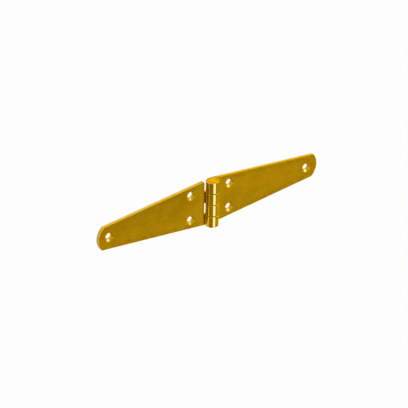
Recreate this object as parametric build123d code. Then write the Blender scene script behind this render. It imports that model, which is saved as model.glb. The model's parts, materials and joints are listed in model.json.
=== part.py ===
from build123d import *
import math
import os

# Triangle hinge: two tapered leaves of plated steel sheet, rolled round one riveted pin.
# Millimetres. X runs along the open leaves, Y along the pin, and Z away from the mounting surface.
# The origin is on the mounting plane, midway along the barrel and straight below the pin.
# The hinge is drawn open flat. Both leaves are the same pressing, one turned half a turn.

# Leaf outline
leaf_length = 100.0  # pin axis to the end of one leaf, along its middle
barrel_length = 38.0  # all the knuckles together, and the leaf at its widest
shoulder = 2.0  # the straight sides next to the pin, before the taper
tip_width = 18.6  # between the two corners where the taper meets the end arc
tip_rise = 3.8  # how far the end arc stands past the middle between those corners
tip_lean = 0.75  # how far one of the corners stands out past that middle, and the other back
tip_corner_radius = 1.0
sheet = 3.0
edge_break = 0.45  # rounding that blanking and tumbling leave on the sheet's edges

# Pin and knuckles
pin_diameter = 4.0
pin_clearance = 0.05  # radial, and the same under the riveted ends
knuckle_count = 4
knuckle_gap = 0.3  # between the end faces of two neighbours
curl_gap = 0.3  # from the rolled end of the sheet down to the leaf's face
notch_clearance = 0.55  # from the barrel to the edge of the leaf that faces it
notch_inner_radius = 0.8
notch_outer_radius = 1.5

# Riveted ends of the pin
rivet_flare = 0.55  # how much wider than the shank, at the barrel's end face
rivet_depth = 0.7
rivet_dome = 0.2

# Screw holes, countersunk from the front
hole_diameter = 4.5
countersink_diameter = 8.1
countersink_angle = 90.0
near_hole_reach = 17.6  # pin axis to the pair of holes
near_hole_spacing = 20.75
tip_hole_inset = 9.75  # leaf tip to the single hole

# What follows from them
bore_radius = pin_diameter / 2 + pin_clearance
barrel_radius = bore_radius + sheet
half_barrel = barrel_length / 2
knuckle_pitch = barrel_length / knuckle_count
notch_edge = barrel_radius + notch_clearance
pin_axis = Axis((0, 0, barrel_radius), (0, 1, 0))
overshoot = 1.0  # how far a cutter runs past what it cuts
tolerance = 1e-4


def knuckle_span(index):
    """The Y range of one knuckle, counted from the lower end of the barrel."""
    low = -half_barrel + index * knuckle_pitch
    high = low + knuckle_pitch
    if index > 0:
        low += knuckle_gap / 2
    if index < knuckle_count - 1:
        high -= knuckle_gap / 2
    return low, high


def notch_span(index):
    """The Y range to clear for the other leaf's knuckle, with the gap at each end of it."""
    low, high = knuckle_span(index)
    past_low = overshoot if index == 0 else knuckle_gap
    past_high = overshoot if index == knuckle_count - 1 else knuckle_gap
    return low - past_low, high + past_high


def is_notch_corner(vertex):
    """Whether a corner of the blank is the inner corner of a notch."""
    on_edge = abs(vertex.X - notch_edge) < tolerance
    return on_edge and abs(vertex.Y) < half_barrel - knuckle_pitch / 4


def is_outline_corner(vertex):
    """Whether a corner of the blank is where an end notch meets the tapered side."""
    on_edge = abs(vertex.X - notch_edge) < tolerance
    return on_edge and abs(vertex.Y) > half_barrel - knuckle_pitch / 4


def is_tip_corner(vertex):
    """Whether a corner of the blank is where the taper meets the end arc."""
    return vertex.X > leaf_length - 2 * tip_rise


def blank(own):
    """The flat of the sheet seen from the front, from the pin axis to the tip."""
    between_corners = leaf_length - tip_rise
    upper_corner = (between_corners + tip_lean, tip_width / 2)
    lower_corner = (between_corners - tip_lean, -tip_width / 2)
    with BuildSketch() as sketch:
        with BuildLine():
            Polyline(lower_corner, (shoulder, -half_barrel), (0, -half_barrel))
            Line((0, -half_barrel), (0, half_barrel))
            Polyline((0, half_barrel), (shoulder, half_barrel), upper_corner)
            ThreePointArc(upper_corner, (leaf_length, 0), lower_corner)
        make_face()
        for index in set(range(knuckle_count)) - set(own):
            low, high = notch_span(index)
            with Locations((notch_edge / 2, (low + high) / 2)):
                Rectangle(notch_edge, high - low, mode=Mode.SUBTRACT)
        fillet(sketch.vertices().filter_by(is_notch_corner), notch_inner_radius)
        fillet(sketch.vertices().filter_by(is_outline_corner), notch_outer_radius)
        fillet(sketch.vertices().filter_by(is_tip_corner), tip_corner_radius)
    return sketch.sketch


def flat(own):
    """The blank at its thickness, its edges broken except where the knuckles roll on from it."""
    plate = extrude(blank(own), sheet)
    faces = plate.faces().sort_by(Axis.Z)
    rim = ShapeList(faces[0].outer_wire().edges() + faces[-1].outer_wire().edges())
    rolled_on = rim.filter_by(lambda e: abs(e.center().X) < tolerance)
    return fillet([e for e in rim if e not in rolled_on], edge_break)


def curl(index):
    """One knuckle's roll: the sheet's section turned about the pin until it nearly meets the leaf."""
    low, high = knuckle_span(index)
    under_to_level = 270
    past_level = math.degrees(math.asin((bore_radius - curl_gap) / barrel_radius))
    middle = Plane((0, (low + high) / 2, sheet / 2), x_dir=(0, 1, 0), z_dir=(1, 0, 0))
    section = middle * RectangleRounded(high - low, sheet, edge_break)
    return revolve(section, pin_axis, under_to_level + past_level)


def rivet_seat():
    """Cutter for the flared mouth of the bore at the upper end of the barrel."""
    base = (Align.CENTER, Align.CENTER, Align.MIN)
    mouth_radius = bore_radius + rivet_flare
    flare = Cone(bore_radius, mouth_radius, rivet_depth, align=base)
    mouth = Pos(0, 0, rivet_depth) * Cylinder(mouth_radius, overshoot, align=base)
    return Pos(0, half_barrel - rivet_depth, barrel_radius) * Rot(-90, 0, 0) * (flare + mouth)


def screw_hole():
    """Cutter for one countersunk hole through the sheet, standing on the back face."""
    hole_radius = hole_diameter / 2
    sink_radius = countersink_diameter / 2
    sink_depth = (sink_radius - hole_radius) / math.tan(math.radians(countersink_angle / 2))
    with BuildPart() as cutter:
        with BuildSketch(Plane.XZ):
            with BuildLine():
                Polyline(
                    (0, -overshoot),
                    (hole_radius, -overshoot),
                    (hole_radius, sheet - sink_depth),
                    (sink_radius, sheet),
                    (sink_radius, sheet + overshoot),
                    (0, sheet + overshoot),
                    close=True,
                )
            make_face()
        revolve(axis=Axis.Z)
    return cutter.part


def leaf(own):
    """A leaf on the right of the pin, with the knuckles that it owns."""
    body = flat(own)
    for index in own:
        body += curl(index)
    hole = screw_hole()
    centres = [
        (near_hole_reach, near_hole_spacing / 2),
        (near_hole_reach, -near_hole_spacing / 2),
        (leaf_length - tip_hole_inset, 0),
    ]
    for x, y in centres:
        body -= Pos(x, y, 0) * hole
    if knuckle_count - 1 in own:
        body -= rivet_seat()
    if 0 in own:
        body -= mirror(rivet_seat(), Plane.XZ)
    return body


def pin():
    """The pin, with both ends upset into the flared bores and left slightly domed."""
    shank = pin_diameter / 2
    end = shank + rivet_flare
    with BuildPart() as turned:
        with BuildSketch(Plane.XY):
            with BuildLine():
                TangentArc((0, half_barrel + rivet_dome), (end, half_barrel), tangent=(1, 0))
                Line((end, half_barrel), (shank, half_barrel - rivet_depth))
                Line((shank, half_barrel - rivet_depth), (shank, 0))
                Line((shank, 0), (0, 0))
                Line((0, 0), (0, half_barrel + rivet_dome))
            make_face()
        revolve(axis=Axis.Y)
        mirror(about=Plane.XZ)
    return Pos(0, 0, barrel_radius) * turned.part


def half_turn(index):
    """The place that a knuckle takes when its leaf is turned half a turn about Z."""
    return knuckle_count - 1 - index


# The right leaf owns the uppermost knuckle and every second one below it.
right_own = list(range(knuckle_count - 1, -1, -2))
left_own = [index for index in range(knuckle_count) if index not in right_own]

parts = {
    "right_leaf": leaf(right_own),
    "left_leaf": Rot(0, 0, 180) * leaf([half_turn(index) for index in left_own]),
    "hinge_pin": pin(),
}

os.makedirs("parts", exist_ok=True)
for name, shape in parts.items():
    export_step(shape, f"parts/{name}.step")
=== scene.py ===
import json
import math

import bmesh
import bpy
from bpy.props import FloatProperty, FloatVectorProperty, PointerProperty
from mathutils import Matrix, Vector


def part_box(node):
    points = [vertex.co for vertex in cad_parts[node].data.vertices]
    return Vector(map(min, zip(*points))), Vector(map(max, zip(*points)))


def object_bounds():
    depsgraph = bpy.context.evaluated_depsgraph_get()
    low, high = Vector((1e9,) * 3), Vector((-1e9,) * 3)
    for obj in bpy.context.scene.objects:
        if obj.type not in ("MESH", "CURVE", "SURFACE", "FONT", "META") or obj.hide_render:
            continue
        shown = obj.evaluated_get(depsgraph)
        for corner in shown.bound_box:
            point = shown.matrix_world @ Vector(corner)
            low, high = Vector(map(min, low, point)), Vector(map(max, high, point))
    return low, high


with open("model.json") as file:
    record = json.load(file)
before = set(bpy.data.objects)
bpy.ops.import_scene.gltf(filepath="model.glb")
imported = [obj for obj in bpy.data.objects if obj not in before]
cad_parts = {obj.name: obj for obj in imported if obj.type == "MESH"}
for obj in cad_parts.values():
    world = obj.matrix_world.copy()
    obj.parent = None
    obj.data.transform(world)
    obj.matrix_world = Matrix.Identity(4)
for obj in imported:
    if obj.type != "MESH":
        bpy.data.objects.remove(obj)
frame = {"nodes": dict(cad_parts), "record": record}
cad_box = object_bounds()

# A triangle hinge of yellow passivated steel, held open and flat above a white table.
# Metres. X runs along the leaves, Y along the pin, and Z up, from the back faces to the barrel.
# Left and right mean towards -X and +X, and lower and upper towards -Y and +Y, as in the photograph.

bl_info = {
    "name": "Triangle hinge",
    "version": (1, 0, 0),
    "blender": (4, 5, 0),
    "location": "3D View > Sidebar > Hinge",
    "description": "Finishes a triangle hinge in yellow passivated zinc and sets up its photograph",
    "category": "Object",
}

# The photograph's frame in pixels, and where it shows the middle of the barrel.
PHOTO_SIDE = 408
BARREL_MIDDLE_IN_PHOTO = (212.15, 202.62)
SENSOR_WIDTH_MM = 36.0

MILLIMETRE = 0.001

# Sizes of the hinge, read from the frame.
MOUNTS = {mount["name"]: mount for mount in frame["record"]["mounts"]}
RIGHT_LEAF_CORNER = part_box("right_leaf")[1]
LEAF_REACH = RIGHT_LEAF_CORNER.x
LEAF_HALF_WIDTH = RIGHT_LEAF_CORNER.y
BARREL_RADIUS = RIGHT_LEAF_CORNER.z / 2
BARREL_MIDDLE = Vector((0, 0, BARREL_RADIUS))
NEAR_HOLE_REACH = MOUNTS["right_near_holes"]["pos_m"][0]
NEAR_HOLE_OFFSET = MOUNTS["right_near_holes"]["dims"]["spacing_y_mm"] * MILLIMETRE / 2
TIP_HOLE_REACH = MOUNTS["right_tip_hole"]["pos_m"][0]

# Sizes of the hinge that the frame doesn't hold: how far the notches reach from the pin, and the width
# that the taper has come down to at the tip.
NOTCH_REACH = BARREL_RADIUS + 0.55 * MILLIMETRE
TAPER_END_WIDTH = 17.8 * MILLIMETRE

# The line along the barrel where a pale highlight band is painted, turned a little to the left of its top.
CROWN_TURN = math.radians(18)

# Each pair below is where a mask starts to rise and where it is full. These are places, in metres.
RIGHT_SIDE = (-10.0 * MILLIMETRE, 10.0 * MILLIMETRE)
DARK_LEFT = (0.0, -30.0 * MILLIMETRE)
DARK_UPPER = (-12.0 * MILLIMETRE, 8.0 * MILLIMETRE)
BURNISHED_LEVEL = (2.0 * MILLIMETRE, 1.0 * MILLIMETRE)
TORN_LEVEL = (1.5 * MILLIMETRE, 2.4 * MILLIMETRE)
BARREL_REACH = (BARREL_RADIUS * 1.15, BARREL_RADIUS * 0.95)
NOTCH_SIDE = (NOTCH_REACH + 7.0 * MILLIMETRE, NOTCH_REACH + 0.5 * MILLIMETRE)
GAP_OUTER = (NOTCH_REACH, NOTCH_REACH * 0.94)
GAP_INNER = (BARREL_RADIUS * 0.8, BARREL_RADIUS * 0.92)
GAP_LEVEL = (BARREL_RADIUS * 0.85, BARREL_RADIUS * 0.65)
GAP_UPPER = (-16.0 * MILLIMETRE, -11.0 * MILLIMETRE)

# These are shares of the countersink's diameter, from the middle of a hole.
SINK_REACH = (0.52, 0.49)
SINK_RIM = (0.42, 0.47)

# These are parts of the surface's direction.
STEEP = (0.7, 0.3)
OFF_STEEP = (0.2, 0.45)
OFF_FLAT = (0.98, 0.9)
LEANING = (0.2, 0.5)
ASLANT = (0.1, 0.4)
TOWARDS_TIP = (0.5, 0.9)
OFF_RIGHT_WALL = (-0.35, -0.05)
OFF_LEFT_WALL = (0.45, 0.25)
TOWARDS_LOWER = (0.1, -0.3)
BARREL_FLANK = (-0.85, -0.98)
ON_CROWN = (0.96, 0.99)

# These are values of noise, which keeps near the middle between 0 and 1.
CLOUD_LEVEL = (0.45, 0.65)
BLOTCH_LEVEL = (0.5, 0.66)
GREEN_LEVEL = (0.5, 0.6)
RED_LEVEL = (0.5, 0.4)
PATCH_LEVEL = (0.42, 0.62)
SPECK_LEVEL = (0.4, 0.65)
EDGE_TONE_LEVEL = (0.35, 0.65)
SCRATCH_LEVEL = (0.68, 0.78)
MOTTLE_LEVEL = (0.3, 0.8)
PIN_CLOUD_LEVEL = (0.4, 0.6)
DENT_LEVEL = (0.45, 0.65)

# Rates of the noise that the cloud size sets, in waves to a cloud.
BLOTCH_RATE = 1.7
PATCH_RATE = 1.1
FINE_CLOUD_RATE = 3.0
SPECK_RATE = 7.0
PIN_CLOUD_RATE = 2.0
BLOTCH_STRETCH = (1.0, 1.6, 1.0)
PATCH_STRETCH = (1.0, 1.4, 1.0)

# Rates of the finer noise, in waves to a metre. The lathe's rings are in radians to a metre.
EDGE_TONE_RATE = 260.0
MOTTLE_RATE = 420.0
DENT_RATE = 900.0
GRAIN_RATE = 5200.0
SCRATCH_RATES = (140.0, 2600.0, 1400.0)
DRAWN_LINE_RATES = (260.0, 5200.0, 260.0)
LATHE_RATE = 26000.0

# The film's stronger colours fade in over this many film margins towards the tip.
TIP_MARGINS = 4

# How much of its colour a mask brings where it is full, if not all of it.
GREEN_CLOUD_SHARE = 0.3
RED_BLOTCH_SHARE = 0.3
PATCH_SHARE = 0.35
FACE_SPECK_SHARE = 0.2
OUTLINE_SPECK_SHARE = 0.7
DARK_CORNER_SHARE = 0.55
BURNISHED_SHARE = 0.6
TORN_SHARE = 0.6
TIP_END_SHADE_SHARE = 0.7
LEVEL_WEAR_AND_HIGHLIGHT_SHARE = 0.4
KNUCKLE_WEAR_AND_HIGHLIGHT_SHARE = 0.7
NOTCH_SIDE_SHARE = 0.6
GAP_SHADE_SHARE = 0.45
DENT_SHARE = 0.5

# How much rougher each region is than the rolled faces.
CUT_ROUGHNESS = 0.1
SCRATCH_ROUGHNESS = 0.12
SINK_ROUGHNESS = 0.14
NOTCH_SIDE_ROUGHNESS = 0.2
MOTTLE_ROUGHNESS = 0.07
BARREL_ROUGHNESS = -0.06
DENT_ROUGHNESS = 0.12

# The fine relief: its height on the sheet and on the pin, in metres, then its parts, in shares of that.
SHEET_RELIEF = 4e-6
PIN_RELIEF = 1e-5
GRAIN_HEIGHT = 0.05
MOTTLE_HEIGHT = 1.2
SCRATCH_HEIGHT = -0.5
LATHE_HEIGHT = 0.35
DRAWN_LINE_HEIGHT = 0.08
BARREL_EVENNESS = 0.9
DENT_HEIGHT = 1.5
PIN_GRAIN_HEIGHT = 0.1

# Keeps reflections at a glancing angle golden, as they are on passivated zinc.
GLANCING_TINT = (1.0, 0.8, 0.1, 1.0)

# The stage: the lamps stand in these directions from the barrel, and are this wide and high, in metres.
LAMP_DISTANCE = 3.0
OVERHEAD_WAY = (0.03, -0.494, 0.87)
OVERHEAD_SIZE = (1.7, 1.0)
FILL_WAY = (-0.12, 0.18, 0.97)
FILL_SIZE = (4.0, 2.7)
REAR_WAY = (0.72, 0.56, 0.38)
REAR_SIZE = (2.2, 1.3)
WHITE = (1.0, 1.0, 1.0, 1.0)
TABLE_WHITE = (0.9, 0.9, 0.9, 1.0)

# Parts of a direction in the room, where the ceiling turns from dark to light and the backdrop ends.
CEILING_ACROSS = (-0.5, 0.5)
CEILING_ALONG = (-0.4, 0.2)
BACKDROP_TOP = (0.08, 0.0)


class PlatingSettings(bpy.types.PropertyGroup):
    """Colours and wear of the yellow passivated plating."""

    gold: FloatVectorProperty(
        name="Gold",
        description="The plating's usual colour",
        subtype="COLOR",
        default=(0.828, 0.45, 0.006),
        min=0,
        max=1,
    )
    # Also a painted reflection tint on the barrel's left side, and a tint painted beside the notches
    # against the barrel's orange reflection.
    green_gold: FloatVectorProperty(
        name="Green gold",
        description="Colour of the clouds where the passivated film is thin",
        subtype="COLOR",
        default=(0.66, 0.465, 0.003),
        min=0,
        max=1,
    )
    red_gold: FloatVectorProperty(
        name="Red gold",
        description="Colour of the clouds where the passivated film is thick",
        subtype="COLOR",
        default=(0.80, 0.32, 0.003),
        min=0,
        max=1,
    )
    # Also painted shade on the end faces at the tips, along the right leaf's upper edges and near the
    # countersinks' outer edges.
    deep_gold: FloatVectorProperty(
        name="Deep gold",
        description="Colour of the patches and specks where the film is darkest",
        subtype="COLOR",
        default=(0.60, 0.32, 0.003),
        min=0,
        max=1,
    )
    cut_gold: FloatVectorProperty(
        name="Cut edge gold",
        description="Colour on the sheared thickness of the sheet",
        subtype="COLOR",
        default=(0.87, 0.53, 0.085),
        min=0,
        max=1,
    )
    # Painted highlight on the countersinks' left and lower walls.
    sink_highlight_gold: FloatVectorProperty(
        name="Countersink gold",
        description="Paler colour on the left and lower walls of the turned countersinks",
        subtype="COLOR",
        default=(0.90, 0.70, 0.15),
        min=0,
        max=1,
    )
    # Also the painted highlight on the broken edges and the knuckles' rims, which are partly worn by
    # handling.
    worn_and_highlight_gold: FloatVectorProperty(
        name="Rubbed gold",
        description="Lighter colour on the sheet's edges, where handling rubs the film",
        subtype="COLOR",
        default=(0.97, 0.64, 0.08),
        min=0,
        max=1,
    )
    # Painted lighter colour on the countersinks' upper walls.
    upper_wall_highlight_gold: FloatVectorProperty(
        name="Thin gold",
        description="Colour on the upper walls of the countersinks, where the film is thinnest",
        subtype="COLOR",
        default=(0.98, 0.68, 0.012),
        min=0,
        max=1,
    )
    # Painted highlight: the pale band along the barrel, a little to the left of its top.
    crown_highlight_gold: FloatVectorProperty(
        name="Crown gold",
        description="Pale colour of the band that is rubbed along the top of the barrel",
        subtype="COLOR",
        default=(0.88, 0.57, 0.18),
        min=0,
        max=1,
    )
    # Painted shade: the brown in the gap between the barrel and the notches.
    painted_gap_brown: FloatVectorProperty(
        name="Tarnish",
        description="Brown film in the gap between the barrel and the notches",
        subtype="COLOR",
        default=(0.15, 0.09, 0.003),
        min=0,
        max=1,
    )
    roughness: FloatProperty(
        name="Roughness",
        description="Roughness of the rolled faces",
        subtype="FACTOR",
        default=0.16,
        min=0.05,
        max=1,
    )
    cloud_size: FloatProperty(
        name="Cloud size",
        description="Width of the colour clouds in the passivated film",
        unit="LENGTH",
        default=0.014,
        min=0.001,
    )
    film_margin: FloatProperty(
        name="Film margin",
        description="How far in from the outline the film shows stronger colours",
        unit="LENGTH",
        default=0.006,
        min=0.0005,
    )
    countersink: FloatProperty(
        name="Countersink",
        description="Diameter of a countersink at the front face",
        unit="LENGTH",
        default=0.0081,
        min=0.001,
    )


class StageSettings(bpy.types.PropertyGroup):
    """The photographer's table, lamps and camera."""

    camera_turn: FloatProperty(
        name="Camera turn",
        description="How far the camera stands to the left of the line straight out from the leaves",
        subtype="ANGLE",
        default=math.radians(36.59),
    )
    camera_lift: FloatProperty(
        name="Camera lift",
        description="How far the camera leans from there towards the barrel's upper end",
        subtype="ANGLE",
        default=math.radians(30.24),
    )
    camera_roll: FloatProperty(
        name="Camera roll",
        description="Turn of the camera about its own line of sight",
        subtype="ANGLE",
        default=math.radians(1.0),
    )
    camera_distance: FloatProperty(
        name="Camera distance",
        description="From the middle of the barrel to the camera",
        unit="LENGTH",
        default=1.84,
        min=0.1,
    )
    lens: FloatProperty(
        name="Lens",
        description="Focal length in millimetres, on a sensor 36 mm wide",
        default=219.0,
        min=10,
    )
    table_width: FloatProperty(
        name="Table width",
        description="Width of the white table top",
        unit="LENGTH",
        default=6.0,
        min=0.5,
    )
    table_drop: FloatProperty(
        name="Table drop",
        description="How far the table top lies below the back faces, so that a leaf can hang down",
        unit="LENGTH",
        default=0.11,
        min=0,
    )
    shadow_share: FloatProperty(
        name="Shadow share",
        description="How much of the table's own shading, shadow included, shows over plain white",
        subtype="FACTOR",
        default=0.04,
        min=0,
        max=1,
    )
    dark_ceiling: FloatProperty(
        name="Dark ceiling",
        description="Brightness of the ceiling at its lower left",
        default=0.31,
        min=0,
    )
    light_ceiling: FloatProperty(
        name="Light ceiling",
        description="Brightness of the ceiling at its right and its upper side",
        default=0.52,
        min=0,
    )
    overhead_power: FloatProperty(
        name="Overhead lamp",
        description="Power of the soft lamp above the barrel's lower end, in watts",
        default=6.2,
        min=0,
    )
    fill_power: FloatProperty(
        name="Fill lamp",
        description="Power of the largest soft lamp, almost straight above, in watts",
        default=22.0,
        min=0,
    )
    rear_power: FloatProperty(
        name="Rear lamp",
        description="Power of the low soft lamp on the right, past the barrel's upper end, in watts",
        default=13.2,
        min=0,
    )


class Value:
    """A socket that carries one number. Python's operators on it add Math nodes."""

    def __init__(self, graph, socket):
        self.graph = graph
        self.socket = socket

    def math(self, operation, *numbers):
        inputs = dict(enumerate(numbers))
        node = self.graph.node("ShaderNodeMath", {"operation": operation}, inputs)
        return Value(self.graph, node.outputs[0])

    def __add__(self, other):
        return self.math("ADD", self, other)

    def __radd__(self, other):
        return self.math("ADD", other, self)

    def __sub__(self, other):
        return self.math("SUBTRACT", self, other)

    def __rsub__(self, other):
        return self.math("SUBTRACT", other, self)

    def __mul__(self, other):
        return self.math("MULTIPLY", self, other)

    def __rmul__(self, other):
        return self.math("MULTIPLY", other, self)

    def __abs__(self):
        return self.math("ABSOLUTE", self)

    def sine(self):
        return self.math("SINE", self)

    def larger(self, other):
        return self.math("MAXIMUM", self, other)

    def smaller(self, other):
        return self.math("MINIMUM", self, other)

    def rise(self, start, end):
        """Smoothly 0 to 1 as this value goes from start to end, which may be the smaller."""
        settings = {"interpolation_type": "SMOOTHSTEP", "clamp": True}
        node = self.graph.node("ShaderNodeMapRange", settings, {0: self, 1: start, 2: end})
        return Value(self.graph, node.outputs[0])


class Graph:
    """The node tree of one material or world, with short ways to add to it."""

    def __init__(self, owner):
        owner.use_nodes = True
        self.tree = owner.node_tree
        self.tree.nodes.clear()

    def node(self, kind, settings=None, inputs=None):
        """One node: first its settings, then the value or the link of each socket named or numbered."""
        node = self.tree.nodes.new(kind)
        for name, setting in (settings or {}).items():
            setattr(node, name, setting)
        for key, given in (inputs or {}).items():
            self.feed(node.inputs[key], given)
        return node

    def feed(self, socket, given):
        """Links a socket, or sets it where a plain value is given."""
        if isinstance(given, Value):
            given = given.socket
        if isinstance(given, bpy.types.NodeSocket):
            self.tree.links.new(given, socket)
        else:
            socket.default_value = given

    def place(self):
        """Position in the hinge's own frame at rest, in metres."""
        return self.node("ShaderNodeTexCoord").outputs["Object"]

    def facing(self):
        """The surface's direction in the hinge's own frame at rest."""
        return self.node("ShaderNodeTexCoord").outputs["Normal"]

    def split(self, vector):
        node = self.node("ShaderNodeSeparateXYZ", inputs={0: vector})
        return [Value(self, socket) for socket in node.outputs]

    def join(self, x, y, z):
        return self.node("ShaderNodeCombineXYZ", inputs={0: x, 1: y, 2: z}).outputs[0]

    def stretch(self, vector, scales):
        settings = {"operation": "MULTIPLY"}
        return self.node("ShaderNodeVectorMath", settings, {0: vector, 1: scales}).outputs[0]

    def noise(self, vector, scale, detail=2.0, roughness=0.5):
        inputs = {"Vector": vector, "Scale": scale, "Detail": detail, "Roughness": roughness}
        return Value(self, self.node("ShaderNodeTexNoise", inputs=inputs).outputs[0])

    def mix(self, factor, first, second):
        """Blend of two colours."""
        settings = {"data_type": "RGBA", "clamp_factor": True}
        return self.node("ShaderNodeMix", settings, {0: factor, 6: first, 7: second}).outputs[2]

    def bump(self, height, distance):
        return self.node("ShaderNodeBump", inputs={"Height": height, "Distance": distance}).outputs[0]


def opaque(colour):
    """A colour setting with full alpha."""
    return (*colour, 1.0)


def hole_distance(graph, x, y):
    """Distance from the centre of the nearest screw hole."""
    distances = []
    for reach, offset in ((NEAR_HOLE_REACH, NEAR_HOLE_OFFSET), (TIP_HOLE_REACH, 0)):
        from_centre = graph.join(abs(x) - reach, abs(y) - offset, 0.0)
        node = graph.node("ShaderNodeVectorMath", {"operation": "LENGTH"}, {0: from_centre})
        distances.append(Value(graph, node.outputs[1]))
    return distances[0].smaller(distances[1])


def outline_nearness(x, y, margin):
    """From 0 well inside a leaf to 1 at its tapered sides, and over the last of its tip."""
    half_width = LEAF_HALF_WIDTH - abs(x) * ((LEAF_HALF_WIDTH - TAPER_END_WIDTH / 2) / LEAF_REACH)
    by_side = (half_width - abs(y)).rise(margin, 0.0)
    by_tip = abs(x).rise(LEAF_REACH - margin * TIP_MARGINS, LEAF_REACH - margin)
    return by_side.larger(by_tip)


class Spot:
    """The shaded point of a leaf: its place, its direction, and masks of the regions it may lie in."""

    def __init__(self, graph, settings):
        self.place = graph.place()
        self.x, self.y, self.z = graph.split(self.place)
        self.facing_x, self.facing_y, self.facing_z = graph.split(graph.facing())
        self.from_hole = hole_distance(graph, self.x, self.y)
        start, full = SINK_REACH
        self.in_hole = self.from_hole.rise(settings.countersink * start, settings.countersink * full)
        self.rolled = abs(self.x).rise(*BARREL_REACH)
        self.cut = abs(self.facing_z).rise(*STEEP) * (1 - self.rolled)
        self.near_outline = outline_nearness(self.x, self.y, settings.film_margin)
        self.by_notch = (1 - self.rolled) * abs(self.x).rise(*NOTCH_SIDE)
        self.on_right = self.x.rise(*RIGHT_SIDE)


def film_colour(graph, spot, settings):
    """The faces' colour: the passivated film's clouds, dark patches and specks, stronger along the
    outline, and darker over the left leaf's upper side.
    """
    clouds = graph.noise(spot.place, 1 / settings.cloud_size, detail=3.0)
    fine_clouds = graph.noise(spot.place, FINE_CLOUD_RATE / settings.cloud_size, detail=3.0, roughness=0.6)
    stretched = graph.stretch(spot.place, BLOTCH_STRETCH)
    blotches = graph.noise(stretched, BLOTCH_RATE / settings.cloud_size, detail=2.0)
    stretched = graph.stretch(spot.place, PATCH_STRETCH)
    patches = graph.noise(stretched, PATCH_RATE / settings.cloud_size, detail=4.0, roughness=0.6)
    specks = graph.noise(spot.place, SPECK_RATE / settings.cloud_size, detail=2.0, roughness=0.7)

    green = clouds.rise(*CLOUD_LEVEL) * GREEN_CLOUD_SHARE
    green = green + spot.near_outline * fine_clouds.rise(*GREEN_LEVEL)
    red = blotches.rise(*BLOTCH_LEVEL) * RED_BLOTCH_SHARE
    red = red + spot.near_outline * fine_clouds.rise(*RED_LEVEL)
    colour = graph.mix(green, opaque(settings.gold), opaque(settings.green_gold))
    colour = graph.mix(red, colour, opaque(settings.red_gold))
    speck_share = FACE_SPECK_SHARE + spot.near_outline * OUTLINE_SPECK_SHARE
    deeper = patches.rise(*PATCH_LEVEL) * PATCH_SHARE + specks.rise(*SPECK_LEVEL) * speck_share
    # Darker over the upper side of the left leaf, more so away from the barrel.
    deeper = deeper + spot.x.rise(*DARK_LEFT) * spot.y.rise(*DARK_UPPER) * DARK_CORNER_SHARE
    return graph.mix(deeper, colour, opaque(settings.deep_gold))


def cut_colour(graph, spot, settings):
    """The sheared thickness of the sheet: burnished near the back, torn near the right leaf's front, and
    painted shade on the end faces at the tips.
    """
    tone = graph.noise(spot.place, EDGE_TONE_RATE, detail=2.0)
    colour = graph.mix(tone.rise(*EDGE_TONE_LEVEL), opaque(settings.cut_gold), opaque(settings.gold))
    burnished_share = BURNISHED_SHARE + spot.on_right * (1 - BURNISHED_SHARE)
    burnished = spot.z.rise(*BURNISHED_LEVEL) * burnished_share
    colour = graph.mix(burnished, colour, opaque(settings.worn_and_highlight_gold))
    torn = spot.on_right * spot.z.rise(*TORN_LEVEL)
    colour = graph.mix(torn * TORN_SHARE, colour, opaque(settings.deep_gold))
    # Painted shade: the end faces at the tips are darker.
    tip_end_shade = abs(spot.facing_x).rise(*TOWARDS_TIP)
    return graph.mix(tip_end_shade * TIP_END_SHADE_SHARE, colour, opaque(settings.deep_gold))


def with_broken_edges(graph, spot, colour, settings):
    """Adds the broken edges: lighter, partly worn by handling and partly painted highlight, with painted
    shade along the right leaf's upper side.
    """
    broken = (1 - spot.in_hole) * spot.facing_z.rise(*OFF_STEEP) * spot.facing_z.rise(*OFF_FLAT)
    broken = broken * (1 - spot.rolled)
    # Painted shade on the right leaf's upper edges.
    upper_edge_shade = spot.on_right * spot.facing_y.rise(*LEANING)
    colour = graph.mix(broken * upper_edge_shade, colour, opaque(settings.deep_gold))
    # The knuckles' rims: partly worn by handling, partly painted highlight.
    along_barrel = abs(spot.facing_y)
    knuckle_edge = spot.rolled * along_barrel.rise(*LEANING) * along_barrel.rise(*OFF_FLAT)
    # Lighter broken edges, partly worn by handling and partly painted highlight, more where they face
    # along the leaves.
    share_of_wear_and_highlight = LEVEL_WEAR_AND_HIGHLIGHT_SHARE + (1 - LEVEL_WEAR_AND_HIGHLIGHT_SHARE) * abs(spot.facing_x).rise(*ASLANT)
    wear_and_highlight = broken * (1 - upper_edge_shade) * share_of_wear_and_highlight + knuckle_edge * KNUCKLE_WEAR_AND_HIGHLIGHT_SHARE
    return graph.mix(wear_and_highlight, colour, opaque(settings.worn_and_highlight_gold))


def sink_colour(graph, spot, settings):
    """The turned countersinks: a painted highlight on the left and lower walls, painted shade along part
    of their outer edge, and a painted lighter colour on the upper walls.
    """
    # Painted highlight: the left and lower walls are paler.
    painted_wall_highlight = spot.facing_x.rise(*OFF_RIGHT_WALL)
    colour = graph.mix(painted_wall_highlight, opaque(settings.gold), opaque(settings.sink_highlight_gold))
    # Painted shade along part of the countersink's outer edge.
    start, full = SINK_RIM
    rim_shade = spot.from_hole.rise(settings.countersink * start, settings.countersink * full)
    rim_shade = rim_shade * spot.facing_y.rise(*LEANING) * spot.facing_x.rise(*OFF_LEFT_WALL)
    colour = graph.mix(rim_shade, colour, opaque(settings.deep_gold))
    # Painted lighter colour on the upper walls.
    return graph.mix(spot.facing_y.rise(*TOWARDS_LOWER), colour, opaque(settings.upper_wall_highlight_gold))


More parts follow.
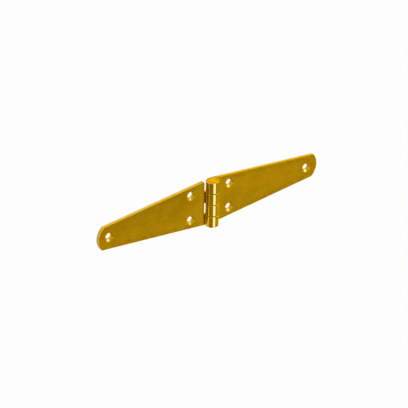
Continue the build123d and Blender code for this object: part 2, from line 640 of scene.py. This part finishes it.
def with_barrel_bands(graph, spot, colour, settings):
    """Adds a painted greenish reflection on the barrel's left side and a painted highlight band along the
    barrel, a little to the left of its top.
    """
    # Painted reflection: the barrel's steep left side is tinted greenish.
    flank_reflection = spot.rolled * spot.facing_x.rise(*BARREL_FLANK)
    colour = graph.mix(flank_reflection, colour, opaque(settings.green_gold))
    # Painted highlight: a pale band along the barrel, turned a little to the left of its top.
    towards_crown = spot.facing_z * math.cos(CROWN_TURN) - spot.facing_x * math.sin(CROWN_TURN)
    painted_crown_band = spot.rolled * towards_crown.rise(*ON_CROWN)
    return graph.mix(painted_crown_band, colour, opaque(settings.crown_highlight_gold))


def with_painted_gap_shade(graph, spot, colour, settings):
    """Adds painted brown shade in the gap between the barrel and the notches, but not at its lower end."""
    in_gap = abs(spot.x).rise(*GAP_OUTER) * abs(spot.x).rise(*GAP_INNER)
    in_gap = in_gap * spot.z.rise(*GAP_LEVEL) * spot.y.rise(*GAP_UPPER)
    # Painted shade darkens the gap, fading out towards its lower end.
    return graph.mix(in_gap * GAP_SHADE_SHARE, colour, opaque(settings.painted_gap_brown))


def leaf_colour(graph, spot, settings):
    """Colour of the plating all over a leaf, region by region, with painted highlights, reflections and
    shade.
    """
    colour = graph.mix(spot.cut, film_colour(graph, spot, settings), cut_colour(graph, spot, settings))
    colour = with_broken_edges(graph, spot, colour, settings)
    colour = graph.mix(spot.in_hole, colour, sink_colour(graph, spot, settings))
    # A greener tint painted beside the notches, against the barrel's orange reflection on the faces there.
    colour = graph.mix(spot.by_notch * NOTCH_SIDE_SHARE, colour, opaque(settings.green_gold))
    colour = with_barrel_bands(graph, spot, colour, settings)
    return with_painted_gap_shade(graph, spot, colour, settings)


def leaf_roughness(spot, scratches, mottle, settings):
    """Roughness of a leaf: edges, scratches and countersinks are rougher, and the knuckles smoother."""
    roughness = settings.roughness + spot.cut * CUT_ROUGHNESS + scratches * SCRATCH_ROUGHNESS
    roughness = roughness + spot.in_hole * SINK_ROUGHNESS + spot.by_notch * NOTCH_SIDE_ROUGHNESS
    roughness = roughness + mottle.rise(*MOTTLE_LEVEL) * (1 - spot.rolled) * MOTTLE_ROUGHNESS
    return roughness + spot.rolled * BARREL_ROUGHNESS


def leaf_height(graph, spot, scratches, mottle):
    """Fine relief of a leaf: grain, scratches, turned rings in the countersinks, lines on the barrel."""
    grain = graph.noise(spot.place, GRAIN_RATE, detail=3.0, roughness=0.6)
    drawn_lines = graph.noise(graph.stretch(spot.place, DRAWN_LINE_RATES), 1.0, detail=2.0)
    rings = (spot.from_hole * LATHE_RATE).sine() * spot.in_hole
    height = grain * GRAIN_HEIGHT + mottle * MOTTLE_HEIGHT + scratches * SCRATCH_HEIGHT
    height = height + rings * LATHE_HEIGHT
    return height * (1 - spot.rolled * BARREL_EVENNESS) + drawn_lines * spot.rolled * DRAWN_LINE_HEIGHT


def finish_metal(graph, colour, roughness, normal):
    """Ends a plated material with its one metallic surface."""
    inputs = {
        "Base Color": colour,
        "Metallic": 1.0,
        "Roughness": roughness,
        "Specular Tint": GLANCING_TINT,
        "Normal": normal,
    }
    surface = graph.node("ShaderNodeBsdfPrincipled", inputs=inputs)
    graph.node("ShaderNodeOutputMaterial", inputs={0: surface.outputs[0]})


def leaf_material(name, settings):
    """Yellow passivated zinc on a pressed and rolled leaf."""
    material = bpy.data.materials.new(name)
    graph = Graph(material)
    spot = Spot(graph, settings)
    scratches = graph.noise(graph.stretch(spot.place, SCRATCH_RATES), 1.0, detail=1.0)
    scratches = scratches.rise(*SCRATCH_LEVEL)
    mottle = graph.noise(spot.place, MOTTLE_RATE, detail=3.0)
    colour = leaf_colour(graph, spot, settings)
    roughness = leaf_roughness(spot, scratches, mottle, settings)
    height = leaf_height(graph, spot, scratches, mottle)
    finish_metal(graph, colour, roughness, graph.bump(height, SHEET_RELIEF))
    return material


def pin_material(name, settings):
    """The same plating on the pin, with the shallow facets that riveting leaves on its ends."""
    material = bpy.data.materials.new(name)
    graph = Graph(material)
    place = graph.place()
    clouds = graph.noise(place, PIN_CLOUD_RATE / settings.cloud_size, detail=3.0)
    dents = graph.noise(place, DENT_RATE, detail=1.0)
    grain = graph.noise(place, GRAIN_RATE, detail=3.0, roughness=0.6)
    colour = graph.mix(clouds.rise(*PIN_CLOUD_LEVEL), opaque(settings.gold), opaque(settings.green_gold))
    colour = graph.mix(dents.rise(*DENT_LEVEL) * DENT_SHARE, colour, opaque(settings.worn_and_highlight_gold))
    roughness = settings.roughness + dents * DENT_ROUGHNESS
    height = dents * DENT_HEIGHT + grain * PIN_GRAIN_HEIGHT
    finish_metal(graph, colour, roughness, graph.bump(height, PIN_RELIEF))
    return material


def put_on(node_name, material):
    """Gives a CAD piece its finish in all its material slots."""
    piece = frame["nodes"][node_name]
    if not piece.material_slots:
        raise RuntimeError(f"{node_name} has no material slot")
    for slot in piece.material_slots:
        slot.material = material


class HINGE_OT_leaves(bpy.types.Operator):
    """Finish both leaves in yellow passivated zinc"""

    bl_idname = "hinge.leaves"
    bl_label = "Finish leaves"

    def execute(self, context):
        material = leaf_material("plated_sheet", context.scene.hinge_plating)
        put_on("left_leaf", material)
        put_on("right_leaf", material)
        return {"FINISHED"}


class HINGE_OT_pin(bpy.types.Operator):
    """Finish the riveted pin"""

    bl_idname = "hinge.pin"
    bl_label = "Finish pin"

    def execute(self, context):
        put_on("hinge_pin", pin_material("plated_pin", context.scene.hinge_plating))
        return {"FINISHED"}


def table_material(settings):
    """White table top that keeps a faint shadow, and shows as white in the metal too."""
    material = bpy.data.materials.new("table_top")
    graph = Graph(material)
    rays = graph.node("ShaderNodeLightPath")
    seen = Value(graph, rays.outputs["Is Camera Ray"])
    mirrored = Value(graph, rays.outputs["Is Glossy Ray"])
    mirrored = mirrored.larger(Value(graph, rays.outputs["Is Transmission Ray"]))
    shaded = graph.node("ShaderNodeBsdfDiffuse", inputs={"Color": TABLE_WHITE})
    white = graph.node("ShaderNodeEmission", inputs={"Strength": 1.0})
    share = seen.larger(mirrored) * (1 - settings.shadow_share)
    inputs = {0: share, 1: shaded.outputs[0], 2: white.outputs[0]}
    mixed = graph.node("ShaderNodeMixShader", inputs=inputs)
    graph.node("ShaderNodeOutputMaterial", inputs={0: mixed.outputs[0]})
    return material


def make_table(settings):
    """The table top, far enough below the hinge for a leaf to hang down."""
    mesh = bpy.data.meshes.new("table_top")
    shape = bmesh.new()
    bmesh.ops.create_grid(shape, x_segments=1, y_segments=1, size=settings.table_width / 2)
    shape.to_mesh(mesh)
    shape.free()
    table = bpy.data.objects.new("table_top", mesh)
    table.location.z = cad_box[0].z - settings.table_drop
    table.data.materials.append(table_material(settings))
    bpy.context.scene.collection.objects.link(table)


def make_room(settings):
    """A white backdrop up to just above the horizon, and a ceiling that is darker at the lower left."""
    world = bpy.data.worlds.new("room")
    bpy.context.scene.world = world
    graph = Graph(world)
    direction = graph.node("ShaderNodeTexCoord").outputs["Generated"]
    x, y, height = graph.split(direction)
    dark = (settings.dark_ceiling,) * 3
    light = (settings.light_ceiling,) * 3
    lighter = x.rise(*CEILING_ACROSS).larger(y.rise(*CEILING_ALONG))
    ceiling = graph.mix(lighter, opaque(dark), opaque(light))
    colour = graph.mix(height.rise(*BACKDROP_TOP), ceiling, WHITE)
    background = graph.node("ShaderNodeBackground", inputs={"Color": colour, "Strength": 1.0})
    graph.node("ShaderNodeOutputWorld", inputs={0: background.outputs[0]})


def soft_lamp(name, direction, size, power):
    """A rectangular soft lamp in a direction from the barrel, facing it."""
    lamp = bpy.data.lights.new(name, "AREA")
    lamp.shape = "RECTANGLE"
    lamp.size, lamp.size_y = size
    lamp.energy = power
    holder = bpy.data.objects.new(name, lamp)
    way = Vector(direction).normalized()
    holder.location = BARREL_MIDDLE + way * LAMP_DISTANCE
    holder.rotation_mode = "QUATERNION"
    holder.rotation_quaternion = way.to_track_quat("Z", "Y")
    bpy.context.scene.collection.objects.link(holder)


def camera_axes(settings):
    """Right, up and backward directions of the camera, before it is aimed off the barrel's middle."""
    turn = settings.camera_turn
    lift = settings.camera_lift
    level = Vector((math.cos(turn), 0, math.sin(turn)))
    upright = Vector((math.sin(turn) * math.sin(lift), math.cos(lift), -math.cos(turn) * math.sin(lift)))
    backward = Vector((-math.sin(turn) * math.cos(lift), math.sin(lift), math.cos(turn) * math.cos(lift)))
    roll = settings.camera_roll
    right = level * math.cos(roll) + upright * math.sin(roll)
    up = upright * math.cos(roll) - level * math.sin(roll)
    return right, up, backward


def make_camera(settings):
    """The camera, aimed so that the barrel's middle falls where the photograph shows it."""
    camera = bpy.data.cameras.new("camera")
    camera.sensor_width = SENSOR_WIDTH_MM
    camera.lens = settings.lens
    right, up, backward = camera_axes(settings)
    pixel = settings.camera_distance * SENSOR_WIDTH_MM / (settings.lens * PHOTO_SIDE)
    across = (BARREL_MIDDLE_IN_PHOTO[0] - PHOTO_SIDE / 2) * pixel
    down = (BARREL_MIDDLE_IN_PHOTO[1] - PHOTO_SIDE / 2) * pixel
    aim = BARREL_MIDDLE - right * across + up * down
    stand = BARREL_MIDDLE + backward * settings.camera_distance
    backward = (stand - aim).normalized()
    right = up.cross(backward).normalized()
    up = backward.cross(right)
    holder = bpy.data.objects.new("camera", camera)
    turned = Matrix((right, up, backward)).transposed().to_4x4()
    holder.matrix_world = Matrix.Translation(stand) @ turned
    bpy.context.scene.collection.objects.link(holder)
    bpy.context.scene.camera = holder


class HINGE_OT_stage(bpy.types.Operator):
    """Set up the white table, the room, the lamps and the camera"""

    bl_idname = "hinge.stage"
    bl_label = "Set up stage"

    def execute(self, context):
        settings = context.scene.hinge_stage
        make_table(settings)
        make_room(settings)
        soft_lamp("overhead_lamp", OVERHEAD_WAY, OVERHEAD_SIZE, settings.overhead_power)
        soft_lamp("fill_lamp", FILL_WAY, FILL_SIZE, settings.fill_power)
        soft_lamp("rear_lamp", REAR_WAY, REAR_SIZE, settings.rear_power)
        make_camera(settings)
        context.scene.view_settings.view_transform = "Standard"
        return {"FINISHED"}


class HINGE_PT_panel(bpy.types.Panel):
    """The hinge's settings and steps"""

    bl_idname = "HINGE_PT_panel"
    bl_label = "Triangle hinge"
    bl_space_type = "VIEW_3D"
    bl_region_type = "UI"
    bl_category = "Hinge"

    def draw(self, context):
        layout = self.layout
        for settings in (context.scene.hinge_plating, context.scene.hinge_stage):
            column = layout.column()
            for name in settings.__annotations__:
                column.prop(settings, name)
        for step in STEPS:
            layout.operator(step.bl_idname)


STEPS = (HINGE_OT_leaves, HINGE_OT_pin, HINGE_OT_stage)
CLASSES = (PlatingSettings, StageSettings, *STEPS, HINGE_PT_panel)


def register():
    for cls in CLASSES:
        bpy.utils.register_class(cls)
    bpy.types.Scene.hinge_plating = PointerProperty(type=PlatingSettings)
    bpy.types.Scene.hinge_stage = PointerProperty(type=StageSettings)


def unregister():
    del bpy.types.Scene.hinge_stage
    del bpy.types.Scene.hinge_plating
    for cls in reversed(CLASSES):
        bpy.utils.unregister_class(cls)


def main():
    register()
    bpy.ops.hinge.leaves()
    bpy.ops.hinge.pin()
    bpy.ops.hinge.stage()


if __name__ == "__main__":
    main()
